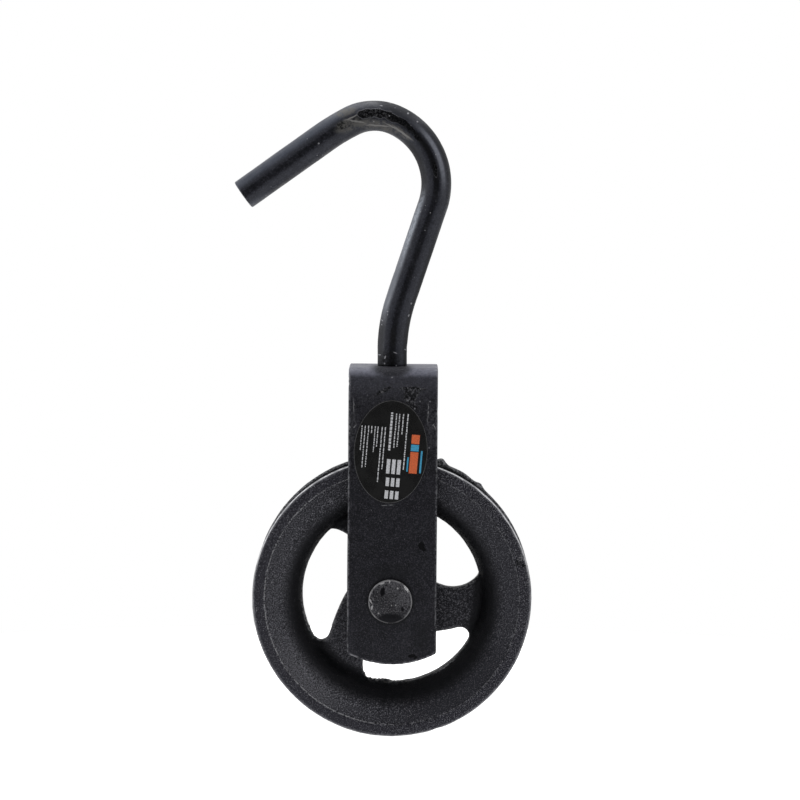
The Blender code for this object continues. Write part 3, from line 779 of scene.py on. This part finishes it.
BAR = 10 * MM
BAR_SIDES = 96
BAR_STEP = 1.3 * MM
BAR_COAT = 0.25 * MM
LIMB_COAT = 0.22 * MM
LIMB_LIFT = 0.2 * MM
STEM_START = 1.1
STEM_RUN = 8.4
# Rings of the foot above its domed end, as (radius, rise above the web), and of the cut tip,
# as (distance from the tip, inset), in millimetres.
FOOT_RINGS = ((12, -8.6), (7, -8.6), (7, 0.3), (9.2, 0.3), (9.75, 0.6))
TIP_RINGS = ((0.9, 0), (0.45, 0.14), (0.15, 0.4), (0, 0.85), (0, 3), (-0.1, 6.5))
# Dents of the bar: place, size and depth in millimetres.
BAR_DENTS = (
    ((24.3, -3, -147.6), (2.2, 6, 2.4), 0.5),
    ((14.5, -4, -95), (2, 6, 1.6), 0.35),
)
# Bends from the stem to the tip: side, radius, angle, and the straight run after each.
HOOK_BENDS = (
    (-1, 120, 18.3, 66),
    (1, 47, 86, 0),
    (1, 34, 49, 0),
    (1, 145, 9, 67.3),
)


def toward(degrees):
    """The unit vector in the XZ plane at that angle from +X."""
    return Vector((math.cos(math.radians(degrees)), 0, math.sin(math.radians(degrees))))


def hook_line():
    """The bar's middle line from the strap's top to the tip, as (place, heading in degrees)."""
    place = STEM + mm(0, 0, STEM_START)
    heading = 90
    line = [(place, heading)]

    def straight(length):
        count = max(1, round(length / BAR_STEP))
        start = line[-1][0]
        for i in range(count):
            line.append((start + toward(heading) * (length * (i + 1) / count), heading))

    straight(STEM_RUN * MM)
    for side, radius, angle, run in HOOK_BENDS:
        radius *= MM
        centre = line[-1][0] + side * radius * toward(heading + 90)
        count = max(1, round(radius * math.radians(angle) / BAR_STEP))
        start = heading
        for i in range(count):
            heading = start + side * angle * (i + 1) / count
            line.append((centre - side * radius * toward(heading + 90), heading))
        if run:
            straight(run * MM)
    return line


def hook_rings():
    """Rings of (place, heading, radius): the peened foot, the spigot, the bar and its cut tip."""
    rings = []
    for turn in range(85, -1, -5):
        radius = 12 * math.cos(math.radians(turn)) ** 0.5
        rise = -10.6 - 4.5 * math.sin(math.radians(turn))
        rings.append((STEM + mm(0, 0, rise), 90, radius * MM))
    for radius, rise in FOOT_RINGS:
        rings.append((STEM + mm(0, 0, rise), 90, radius * MM))
    line = hook_line()
    rings += [(place, heading, BAR) for place, heading in line[:-1]]
    tip, heading = line[-1]
    for back, inset in TIP_RINGS:
        rings.append((tip - toward(heading) * back * MM, heading, BAR - inset * MM))
    return rings


def make_hook():
    """The bent bar as one skin of rings, with a slightly uneven coat."""
    rings = hook_rings()
    verts = []
    axes = []
    for place, heading, radius in rings:
        side = toward(heading - 90)
        for i in range(BAR_SIDES):
            turn = math.tau * i / BAR_SIDES
            spoke = math.cos(turn) * side + math.sin(turn) * Vector((0, 1, 0))
            verts.append(place + radius * spoke)
            axes.append(place)
    faces = [tuple(range(BAR_SIDES))[::-1]]
    for k in range(len(rings) - 1):
        low, high = k * BAR_SIDES, (k + 1) * BAR_SIDES
        for i in range(BAR_SIDES):
            j = (i + 1) % BAR_SIDES
            faces.append((low + i, low + j, high + j, high + i))
    faces.append(tuple(range((len(rings) - 1) * BAR_SIDES, len(rings) * BAR_SIDES)))

    points = np.array([tuple(v) for v in verts])
    out = points - np.array([tuple(v) for v in axes])
    reach = np.linalg.norm(out, axis=1, keepdims=True)
    out /= np.maximum(reach, 1e-9)
    swell = 0.1 * MM * bumps(points, 16 * MM, 1) + 0.035 * MM * bumps(points, 4 * MM, 2)
    for place, size, depth in BAR_DENTS:
        swell += lump(points, mm(*place), mm(*size), -depth * MM)
    limb = np.clip(-points[:, 0] / (20 * MM), 0, 1)
    risen = np.clip((points[:, 2] - STEM.z - 8 * MM) / (10 * MM), 0, 1)
    swell += BAR_COAT * risen + LIMB_COAT * limb
    free = points[:, 2] > (STEM.z + 2 * MM)
    points += out * (swell * free)[:, None]
    points[:, 2] += LIMB_LIFT * limb
    hook = new_piece("hook_bar", points, faces, hook_paint())
    sideways = np.cos(np.arange(BAR_SIDES) * math.tau / BAR_SIDES)
    across = hook.data.attributes.new("across", "FLOAT", "POINT")
    across.data.foreach_set("value", np.tile(sideways, len(rings)))
    return dress(hook, "hook", "hook_paint", "hook")


WHEEL_FACETS = 64
WHEEL_VOXEL = 1.17 * MM
RIM_GROWTH = 0.0036
RIM_GROWTH_FROM = 84 * MM
LIP_FROM = 86.9 * MM
WEB_RISE = 1.2 * MM
HUB_RADIUS = 24 * MM
WINDOW_EDGE = (58 * MM, 63 * MM)
# Flash and dents of the casting: place from the axle, size and height in millimetres.
CAST_LUMPS = (
    ((33, 17, 90), (5.5, 6, 5.5), 3.4),
    ((60.5, 17, 75.5), (4.4, 6, 4.4), 1.9),
    ((47.5, 17, 83), (13, 6, 13), 1.1),
    ((32, -17, -91), (5, 6, 3), -0.6),
)


def near_heading(heading, middle, peak, spread, least=0):
    """1 close to a heading in degrees, falling to the least value away from it."""
    return np.clip(peak - np.abs(heading - middle) / spread, least, 1)


def make_wheel():
    """The casting as one skin, rounded, with flash, a shifted core and ragged window edges."""
    wheel = remeshed("cast_wheel", "wheel", WHEEL_VOXEL, 2)
    points = coords_of(wheel.data) - np.array(AXLE)
    turn = np.arctan2(points[:, 2], points[:, 0])
    facet = math.tau / WHEEL_FACETS
    off_middle = (turn % facet) - facet / 2
    scale = np.cos(off_middle) / math.cos(facet / 2)
    radius = np.hypot(points[:, 0], points[:, 2])
    scale *= 1 + RIM_GROWTH * np.clip((radius - RIM_GROWTH_FROM) / (8 * MM), 0, 1)
    points[:, 0] *= scale
    points[:, 2] *= scale

    radius = np.hypot(points[:, 0], points[:, 2])
    face = np.abs(points[:, 1])
    wobble = 0.5 * MM * bumps(points, 22 * MM, 5)
    lip = np.clip((radius + wobble - LIP_FROM) / (0.8 * MM), 0, 1) * (face > 16.5 * MM)
    points[:, 1] += np.sign(points[:, 1]) * (0.22 * MM * lip - 0.08 * MM)

    set_coords(wheel.data, points + np.array(AXLE))
    out = coords_of(wheel.data, "normal")
    swell = 0.2 * MM * bumps(points, 34 * MM, 3) + 0.11 * MM * bumps(points, 7 * MM, 4)
    swell += 0.05 * MM * bumps(points, 2.6 * MM, 6)
    for place, size, height in CAST_LUMPS:
        swell += lump(points, mm(*place), mm(*size), height * MM)
    off_hub = np.clip((radius - HUB_RADIUS) / (3 * MM), 0, 1)
    heading = np.degrees(np.arctan2(points[:, 2], points[:, 0])) % 360
    ragged = (radius > WINDOW_EDGE[0]) & (radius < WINDOW_EDGE[1]) & (face < 4.3 * MM)
    share = near_heading(heading, 262, 1.6, 14) + near_heading(heading, 208, 1.5, 10)
    teeth = np.clip(bumps(points * (1, 0.4, 1), 2.2 * MM, 21) + 0.15, 0, 1) * share * ragged
    reach = np.where(heading > 235, 2.2 * MM, 1.1 * MM)
    core = np.clip((70 * MM - radius) / (8 * MM), 0, 1)
    core = core * np.clip((radius - 26 * MM) / (8 * MM), 0, 1)
    inward = reach * teeth
    points[:, 0] -= inward * points[:, 0] / radius
    points[:, 2] -= inward * points[:, 2] / radius - WEB_RISE * core
    set_coords(wheel.data, points + out * (swell * off_hub)[:, None] + np.array(AXLE))

    lean = np.abs(out[:, 1])
    corner = (radius > 59.5 * MM) & (radius < 64 * MM) & (face < 7 * MM)
    corner &= (lean > 0.2) & (lean < 0.93)
    spoked = np.unique((heading[(radius > 54 * MM) & (radius < 57.5 * MM)] // 2).astype(int))
    spoked = np.unique(np.concatenate([(spoked + k) % 180 for k in (-2, -1, 0, 1, 2)]))
    corner &= ~np.isin((heading // 2).astype(int), spoked)
    bare = near_heading(heading, 190, 1.4, 50, 0.12) + near_heading(heading, 307, 1.4, 8)
    rub = wheel.data.attributes.new("rub", "FLOAT", "POINT")
    rub.data.foreach_set("value", corner * np.minimum(bare, 1))
    return dress(painted(wheel, casting_paint()), "wheel", "casting_paint", "wheel")


STRAP_VOXEL = 0.85 * MM
STRAP_SPREAD = 1.009
STRAP_FLARE = 0.007
WEB_TOP_RISE = 0.45 * MM
RIVET_VOXEL = 0.45 * MM
# Nicks of the strap: place from the axle, width, height and depth in millimetres.
STRAP_NICKS = (
    (-30, -26.5, 147, 1.2, 1.4, 0.7),
    (-30, -26, 150.5, 0.9, 1, 0.5),
    (-30, -26.5, 92, 0.8, 2.2, 0.3),
    (30, -26.5, 128, 0.8, 3, 0.3),
    (30, -26.5, 60, 0.9, 1.2, 0.4),
    (-12, -26.5, -43.8, 2, 0.9, 0.4),
)


def carried(name, node, body, slot, material):
    """The node's own solid with its facets smoothed, dressed in a finished material."""
    item = painted(added(name, joined_mesh(node)), material)
    item.data.set_sharp_from_angle(angle=SHARP_OVER)
    return dress(item, body, slot, node)


def make_strap():
    """The folded bar with slightly wavy faces, rounded edges and a few nicks."""
    strap = remeshed("strap", "yoke", STRAP_VOXEL, 1)
    points = coords_of(strap.data)
    out = coords_of(strap.data, "normal")
    swell = 0.07 * MM * bumps(points, 26 * MM, 8) + 0.025 * MM * bumps(points, 5 * MM, 9)
    for x, y, z, wide, tall, depth in STRAP_NICKS:
        swell += lump(points, off_axle(x, y, z), mm(wide, 4, tall), -depth * MM)
    points += out * swell[:, None]
    down = np.clip((STEM.z - points[:, 2]) / (200 * MM), 0, 1)
    points[:, 0] = STEM.x + (points[:, 0] - STEM.x) * (STRAP_SPREAD + STRAP_FLARE * down)
    points[:, 2] += WEB_TOP_RISE * np.clip((points[:, 2] - STEM.z + 5 * MM) / (4 * MM), 0, 1)
    set_coords(strap.data, points)
    return dress(painted(strap, strap_paint()), "yoke", "strap_paint", "yoke")


LABEL_CENTRE = Vector((AXLE.x - 1.4 * MM, FRONT - 0.1 * MM, AXLE.z + 101.2 * MM))
LABEL_LEAN = math.radians(3)
PRINT_LEAN = math.radians(4.6)
LABEL_HALF_WIDTH = 25
LABEL_HALF_HEIGHT = 35
LABEL_SIDES = 160
# Ovals of the film and of its edge line, as (inset, lift) in millimetres.
FILM_OVALS = ((0, 0), (0, 0.13), (0.12, 0.2), (0.6, 0.205), (9, 0.205))
BORDER_OVALS = ((0.02, 0.19), (0.05, 0.235), (0.42, 0.235), (0.45, 0.19))
BOX_FACES = ((0, 1, 2, 3), (7, 6, 5, 4), (0, 4, 5, 1), (1, 5, 6, 2), (2, 6, 7, 3), (3, 7, 4, 0))
# Columns of short bars: place across, width, top and bottom in millimetres.
PRINT_COLUMNS = (
    (-20.7, 0.62, 16.2, -0.5), (-18.6, 0.62, 16.2, -12.2), (-16.3, 0.62, 16.4, -11.6),
    (-14.1, 0.62, 16.5, 11.4), (-11.8, 0.62, 16.5, -1), (-9.9, 0.62, 16.5, 2.5),
    (-7.2, 0.7, 16.4, -21.7), (-4.9, 0.7, 16.4, -12.3), (-1.2, 1.5, 26.8, 0.9),
    (1.8, 0.7, 26.3, 2.9), (4, 0.7, 26.2, 3.8), (6.5, 0.7, 26.3, 12.5),
    (9.6, 0.8, 26.6, -11.4),
)
# Pale, orange and blue fields: left, right, bottom and top in millimetres.
PALE_FIELDS = ((-2, 7.6, -14.9, -5), (-1.6, 7.8, -23.4, -17.6), (-1.6, 7.8, -32, -26.4))
FIELD_BARS = 3
FIELD_GAP = 1.2
ORANGE_FIELDS = ((13.4, 18.8, 6.8, 13), (13.4, 18.8, -13.4, 1.2))
BLUE_FIELDS = ((13.4, 18.8, 1.8, 6.2), (20.4, 21.6, -12.8, 2.4), (11.6, 12.6, -12.4, -2.6))


def on_label(x, y, lift, turn=LABEL_LEAN):
    """A place given from the label's middle, in millimetres along axes turned that much."""
    across = x * math.cos(turn) + y * math.sin(turn)
    up = -x * math.sin(turn) + y * math.cos(turn)
    return LABEL_CENTRE + mm(across, -lift, up)


def ovals(layers, closed):
    """Vertices and side faces of a stack of ovals; a closed one comes back to its first."""
    count = len(layers)
    verts = []
    for inset, lift in layers:
        for i in range(LABEL_SIDES):
            turn = math.tau * i / LABEL_SIDES
            x = (LABEL_HALF_WIDTH - inset) * math.cos(turn)
            y = (LABEL_HALF_HEIGHT - inset) * math.sin(turn)
            verts.append(on_label(x, y, lift))
    faces = []
    for k in range(count if closed else count - 1):
        low, high = k * LABEL_SIDES, (k + 1) % count * LABEL_SIDES
        for i in range(LABEL_SIDES):
            j = (i + 1) % LABEL_SIDES
            faces.append((low + i, low + j, high + j, high + i))
    return verts, faces


def printed(name, boxes, material):
    """Thin raised bars, each (left, right, bottom, top) in millimetres."""
    verts = []
    faces = []
    for left, right, bottom, top in boxes:
        base = len(verts)
        corners = ((left, bottom), (right, bottom), (right, top), (left, top))
        for lift in (0.2, 0.23):
            verts += [on_label(x, y, lift, PRINT_LEAN) for x, y in corners]
        faces += [tuple(base + n for n in quad) for quad in BOX_FACES]
    return dress(new_piece(name, verts, faces, material), "yoke", "label_film")


def make_label():
    """The film, its pale cut edge, and plain printed bars that stand for its text."""
    verts, faces = ovals(FILM_OVALS, closed=False)
    faces.append(tuple(range(LABEL_SIDES))[::-1])
    faces.append(tuple(range(len(verts) - LABEL_SIDES, len(verts))))
    dress(new_piece("label_film", verts, faces, label_film()), "yoke", "label_film", "label")

    edge_ink = print_ink("border_ink", (0.085, 0.085, 0.088), (0.014, 0.014, 0.014))
    border = new_piece("label_border", *ovals(BORDER_OVALS, closed=True), edge_ink)
    dress(border, "yoke", "label_film")

    chance = random.Random(7)
    boxes = []
    for across, width, top, bottom in PRINT_COLUMNS:
        y = top
        while y > bottom + 0.4:
            length = min(chance.uniform(0.7, 2.6), y - bottom)
            side = chance.uniform(-0.08, 0.08)
            boxes.append((across - width / 2 + side, across + width / 2 + side, y - length, y))
            y -= length + chance.uniform(0.3, 0.65)
    for left, right, bottom, top in PALE_FIELDS:
        width = (right - left - (FIELD_BARS - 1) * FIELD_GAP) / FIELD_BARS
        for k in range(FIELD_BARS):
            start = left + k * (width + FIELD_GAP)
            boxes.append((start, start + width, bottom, top))
    printed("label_print_white", boxes,
            print_ink("white_ink", (0.74, 0.75, 0.78), (0.26, 0.26, 0.28)))
    printed("label_print_orange", ORANGE_FIELDS,
            print_ink("orange_ink", (0.8, 0.16, 0.05), (0.4, 0.07, 0.02)))
    printed("label_print_blue", BLUE_FIELDS,
            print_ink("blue_ink", (0.06, 0.4, 0.66), (0.03, 0.18, 0.32)))


def make_rivet():
    """The rivet with a hammered, slightly uneven head."""
    rivet = remeshed("rivet", "axle", RIVET_VOXEL, 2)
    points = coords_of(rivet.data)
    out = coords_of(rivet.data, "normal")
    swell = 0.1 * MM * bumps(points, 6 * MM, 11) + 0.04 * MM * bumps(points, 2.2 * MM, 12)
    swell *= np.abs(points[:, 1]) > abs(FRONT) + 0.6 * MM
    points += out * swell[:, None]
    points += np.array(HEAD - AXLE) * (points[:, 1] < FRONT - 0.05 * MM)[:, None]
    set_coords(rivet.data, points)
    return dress(painted(rivet, rivet_paint()), "yoke", "rivet_paint", "axle")


def make_small_pieces():
    """The hidden washers and the sleeve, each as its CAD node with a better material."""
    washer = washer_paint()
    carried("back_washer", "axle_washer", "yoke", "washer_paint", washer)
    carried("sleeve", "axle_sleeve", "yoke", "bare_steel", bare_steel())
    carried("foot_washer", "hook_washer", "hook", "washer_paint", washer)


MIDDLE = mm(6, 0, -200)
FLOOR_REACH = 0.95
FLOOR_PLACE = mm(0, 150, -500)
FLOOR_SIDES = 48
# Soft boxes: place, width, height in metres, and radiance.
LAMPS = {
    "top_box": ((0, 0.25, 1.15), 1.5, 1.3, 2.6),
    "left_box": ((-1.28, 0.1, -0.1), 0.75, 1.5, 3),
    "right_box": ((1.3, -0.45, 0.1), 0.9, 1.3, 0.8),
}
# The white room's glow as (direction along Y, strength), from the camera's side to behind the
# object, and its strength to diffuse and camera rays.
ROOM_FROM, ROOM_TO = (-0.25, 0.1), (0.95, 0.8)
ROOM_RAYS = (("Is Diffuse Ray", 0.45), ("Is Camera Ray", 1))
CAMERA_ANGLES = (0.234, 4.604, 0.424)
CAMERA_AIM = off_axle(4.545, 0, 134.309)
CAMERA_DISTANCE = 2.4
CAMERA_LENS = 157.76
SENSOR_WIDTH = 36
CLIP_END = 50


def soft_lamp(name, place, width, height, radiance):
    """A soft box of that size and radiance, turned to the object."""
    light = bpy.data.lights.new(name, "AREA")
    light.shape = "RECTANGLE"
    light.size = width
    light.size_y = height
    light.energy = radiance * math.pi * width * height
    lamp = added(name, light)
    lamp.location = place
    lamp.rotation_euler = (MIDDLE - Vector(place)).to_track_quat("-Z", "Y").to_euler()


def make_floor():
    """A wide pale floor, which keeps the object's shadow."""
    p = Paint("pale_floor")
    grain = p.noise(60, 4)
    p.feed(p.shader.inputs["Base Color"], p.blend(grain, (0.79, 0.79, 0.79), (0.83, 0.83, 0.83)))
    p.shader.inputs["Roughness"].default_value = 0.9
    path = p.tree.nodes.new("ShaderNodeLightPath")
    away = p.ramp(p.vector("LENGTH", p.place, (0, 0, 0)), 0.25, 0.8, 0.3, 1)
    p.shader.inputs["Emission Color"].default_value = (1, 1, 1, 1)
    p.feed(p.shader.inputs["Emission Strength"], p.times(path.outputs["Is Camera Ray"], away))
    corners = [FLOOR_REACH * toward(360 * i / FLOOR_SIDES).xzy for i in range(FLOOR_SIDES)]
    floor = new_piece("floor", corners, [tuple(range(FLOOR_SIDES))], p.material)
    floor.location = FLOOR_PLACE


def make_world():
    """A white room to the camera, which glows behind the object and is dim in front of it."""
    world = bpy.data.worlds.new("studio")
    bpy.context.scene.world = world
    world.use_nodes = True
    tree = world.node_tree
    backdrop = tree.nodes["Background"]
    direction = tree.nodes.new("ShaderNodeTexCoord").outputs["Generated"]
    parts = tree.nodes.new("ShaderNodeSeparateXYZ")
    tree.links.new(direction, parts.inputs[0])
    glow = tree.nodes.new("ShaderNodeMapRange")
    glow.interpolation_type = "SMOOTHSTEP"
    tree.links.new(parts.outputs["Y"], glow.inputs["Value"])
    glow.inputs["From Min"].default_value, glow.inputs["To Min"].default_value = ROOM_FROM
    glow.inputs["From Max"].default_value, glow.inputs["To Max"].default_value = ROOM_TO
    path = tree.nodes.new("ShaderNodeLightPath")
    strength = glow.outputs["Result"]
    for ray, level in ROOM_RAYS:
        mix = tree.nodes.new("ShaderNodeMix")
        tree.links.new(path.outputs[ray], mix.inputs[0])
        tree.links.new(strength, mix.inputs[2])
        mix.inputs[3].default_value = level
        strength = mix.outputs[0]
    tree.links.new(strength, backdrop.inputs["Strength"])
    backdrop.inputs["Color"].default_value = (1, 1, 1, 1)


def make_camera():
    """The photograph's viewing angle: nearly level, a touch from above and turned by a hair."""
    azimuth, elevation, roll = (math.radians(angle) for angle in CAMERA_ANGLES)
    back = Vector((math.sin(azimuth) * math.cos(elevation),
                   -math.cos(azimuth) * math.cos(elevation), math.sin(elevation)))
    right = Vector((0, 0, 1)).cross(back).normalized()
    up = back.cross(right)
    across = right * math.cos(roll) + up * math.sin(roll)
    upright = up * math.cos(roll) - right * math.sin(roll)
    data = bpy.data.cameras.new("camera")
    data.lens = CAMERA_LENS
    data.sensor_width = SENSOR_WIDTH
    data.clip_end = CLIP_END
    camera = added("camera", data)
    matrix = camera.matrix_world.copy()
    for row in range(3):
        matrix[row][0] = across[row]
        matrix[row][1] = upright[row]
        matrix[row][2] = back[row]
        matrix[row][3] = CAMERA_AIM[row] + CAMERA_DISTANCE * back[row]
    camera.matrix_world = matrix
    bpy.context.scene.camera = camera


def make_studio():
    """Lamps, floor, room and camera."""
    for name, (place, width, height, radiance) in LAMPS.items():
        soft_lamp(name, place, width, height, radiance)
    make_floor()
    make_world()
    make_camera()
    bpy.context.scene.view_settings.view_transform = "Standard"


make_hook()
make_wheel()
make_strap()
make_rivet()
make_small_pieces()
make_label()
make_studio()
